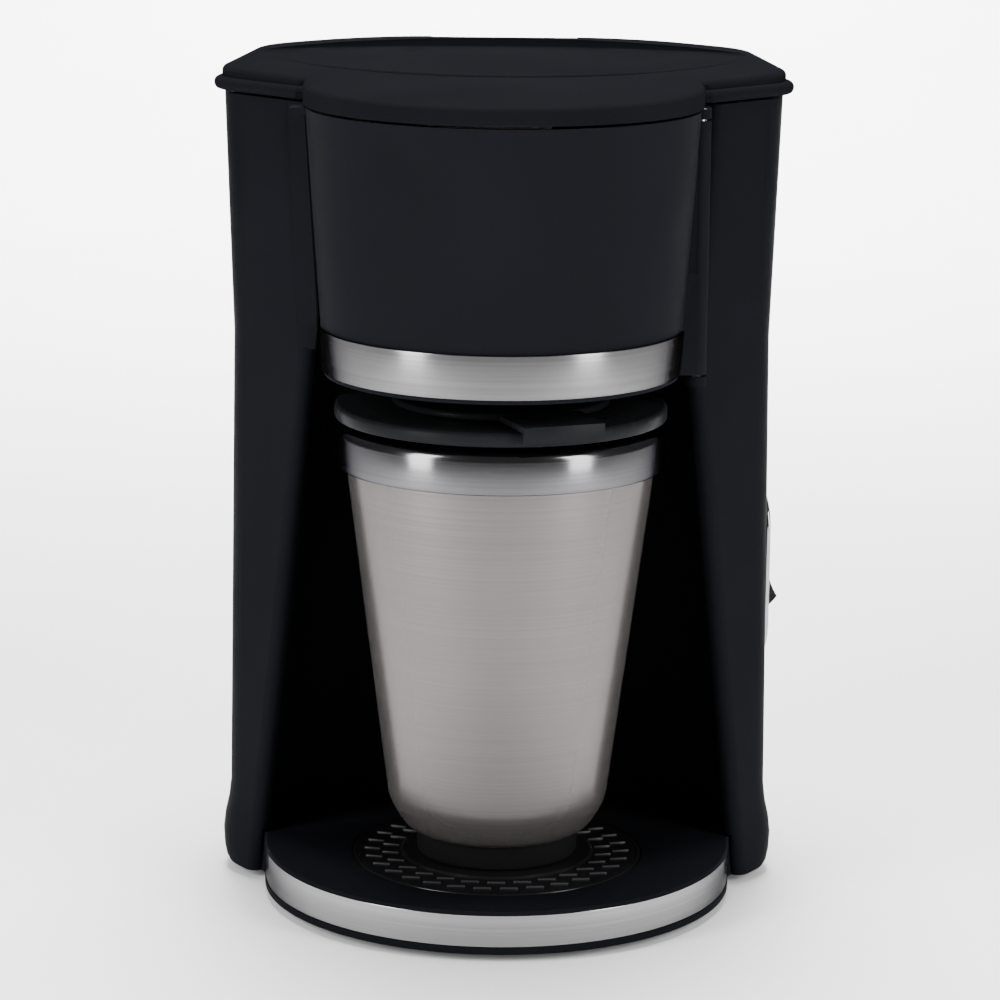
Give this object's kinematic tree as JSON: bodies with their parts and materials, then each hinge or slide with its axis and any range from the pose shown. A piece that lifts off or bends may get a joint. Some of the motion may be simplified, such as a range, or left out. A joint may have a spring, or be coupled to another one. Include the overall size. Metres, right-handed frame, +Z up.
{
  "type": "drip coffee maker",
  "caption": "Single-cup drip coffee maker with hinged lid, swing-out brew head, rocker switch, round drip tray and a lidded steel travel mug in its niche.",
  "frame": {"origin": "middle of the footprint, on the table the feet stand on", "axes": "+Z up, -Y towards the user, +X to the right seen from the front"},
  "size_m": [0.1612, 0.1687, 0.2334],
  "materials": {
    "casing": "satin, fine texture",
    "tray": "gloss",
    "steel_trim": "brushed along the band",
    "rubber": "matt",
    "fastener": "plated",
    "chrome": "polished",
    "gloss_black": "gloss",
    "mug_steel": "satin brushed",
    "bright_steel": "fine turned",
    "inner_plastic": "natural",
    "basket_plastic": "satin",
    "mesh": "woven",
    "hose": "silicone",
    "heater_metal": "as cast"
  },
  "bodies": {
    "chassis": {"outer_casing": "casing", "base_housing": "casing", "bottom_plate": "casing", "drip_plate": "tray", "base_trim_band": "steel_trim", "rubber_feet": "rubber", "cord_gland": "rubber", "bottom_screws": "fastener", "lid_hinge_pin": "fastener", "head_hinge_pin": "fastener", "rocker_pin": "fastener", "switch_bezel": "chrome", "switch_housing": "gloss_black", "water_tank": "inner_plastic", "check_valve_body": "inner_plastic", "riser_tube": "inner_plastic", "spout_arm": "inner_plastic", "inlet_hose": "hose", "outlet_hose": "hose", "heater_tube": "heater_metal", "heating_element": "heater_metal", "thermostat": "heater_metal", "thermal_fuse": "heater_metal", "heater_brackets": "heater_metal"},
    "lid": {"lid": "casing"},
    "head": {"brew_head": "casing", "head_trim_band": "steel_trim", "filter_basket": "basket_plastic", "mesh_filter": "mesh"},
    "rocker": {"rocker": "gloss_black"},
    "mug": {"mug_body": "mug_steel", "mug_liner": "bright_steel", "mug_collar": "bright_steel", "mug_foot": "rubber", "mug_lid": "gloss_black", "mug_lid_gasket": "rubber", "closure_rivet": "chrome"},
    "closure": {"sip_closure": "gloss_black"},
    "valve_ball": {"check_valve_ball": "inner_plastic"}
  },
  "joints": [
    {"name": "lid_hinge", "type": "hinge", "parent": "chassis", "child": "lid", "pos_m": [0, 0.0816, 0.2265], "axis": [-1, 0, 0], "range_deg": [0, 95]},
    {"name": "head_swing", "type": "hinge", "parent": "chassis", "child": "head", "pos_m": [0.0532, -0.0307, 0.19], "axis": [0, 0, 1], "range_deg": [0, 100]},
    {"name": "switch_rock", "type": "hinge", "parent": "chassis", "child": "rocker", "pos_m": [0.06988, 0.01708, 0.0855], "axis": [-0.1644, 0.9864, 0], "range_deg": [0, 24]},
    {"name": "mug_slide", "type": "slide", "parent": "chassis", "child": "mug", "axis": [0, -1, 0], "range_m": [0, 0.16]},
    {"name": "closure_turn", "type": "hinge", "parent": "mug", "child": "closure", "pos_m": [0, -0.0262, 0.144], "axis": [0, 0, 1], "range_deg": [0, 45]},
    {"name": "valve_lift", "type": "slide", "parent": "chassis", "child": "valve_ball", "axis": [0, 0, 1], "range_m": [0, 0.0015]}
  ]
}
